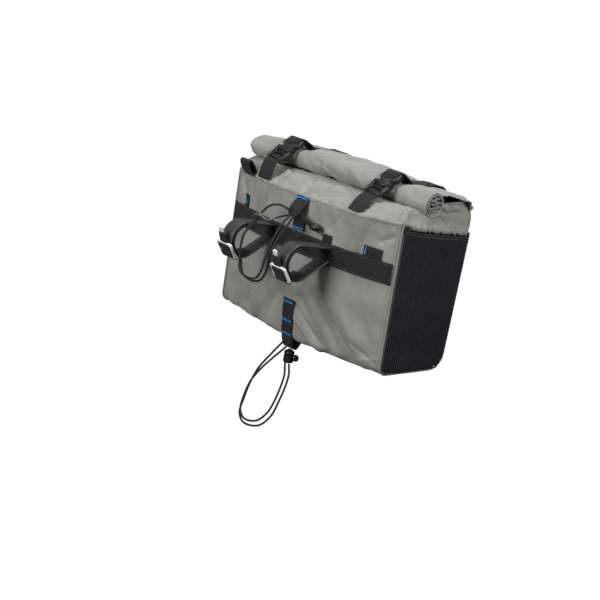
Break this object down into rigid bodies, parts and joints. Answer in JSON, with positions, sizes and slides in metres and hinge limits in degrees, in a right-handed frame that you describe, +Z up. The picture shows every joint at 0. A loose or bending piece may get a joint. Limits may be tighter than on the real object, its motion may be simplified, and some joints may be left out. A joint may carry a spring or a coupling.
{
  "type": "bicycle handlebar bag",
  "caption": "Roll-top bicycle handlebar bag in grey-green cloth with buckled closures, mesh end pockets, rubber bar straps and elastic cords",
  "frame": {"origin": "centre of the handlebar that the two bar straps hold", "axes": "+X to the rider's right along the handlebar, +Y ahead of the rider, +Z up"},
  "size_m": [0.3032, 0.2172, 0.3287],
  "materials": {
    "grey_green_cloth": "woven nylon with a soft sheen",
    "black_net": "knitted net, matt",
    "black_webbing": "ribbed webbing, matt",
    "black_plastic": "moulded, satin",
    "satin_rubber": "coated strap, satin",
    "pale_hardware": "painted, satin",
    "black_cord": "braided, matt"
  },
  "bodies": {
    "root": {"bag_shell": "grey_green_cloth", "roll_top": "grey_green_cloth", "roll_stiffener": "black_plastic", "mesh_pocket_left": "black_net", "mesh_pocket_right": "black_net", "pocket_binding_left": "black_webbing", "pocket_binding_right": "black_webbing", "end_piping_left": "grey_green_cloth", "end_piping_right": "grey_green_cloth", "bar_webbing": "black_webbing", "webbing_tab_outer_left": "black_webbing", "webbing_tab_inner_right": "black_webbing", "webbing_tab_outer_right": "black_webbing", "grab_tab": "black_webbing", "centre_webbing_upper": "black_webbing", "centre_webbing_lower": "black_webbing", "closure_webbing_left": "black_webbing", "closure_webbing_right": "black_webbing", "buckle_plug_left": "black_plastic", "buckle_plug_right": "black_plastic", "buckle_socket_left": "black_plastic", "buckle_socket_right": "black_plastic", "closure_strap_left": "black_webbing", "closure_strap_right": "black_webbing", "bar_strap_left": "satin_rubber", "bar_strap_right": "satin_rubber", "bar_pad_left": "black_webbing", "bar_pad_right": "black_webbing", "bar_strap_buckle_left": "pale_hardware", "bar_strap_buckle_right": "pale_hardware", "bar_strap_tail_left": "satin_rubber", "bar_strap_tail_right": "satin_rubber", "bar_strap_tip_left": "pale_hardware", "bar_strap_tip_right": "pale_hardware", "stem_cord_front": "black_cord", "stem_cord_rear": "black_cord", "hook_cord": "black_cord", "hook_strand": "black_cord", "bungee_hook": "pale_hardware", "pull_strip": "black_webbing", "bungee_knob": "black_plastic", "head_cord_outer": "black_cord", "head_cord_inner": "black_cord", "cord_lock": "black_plastic", "cord_end_ball": "black_plastic"}
  },
  "joints": []
}
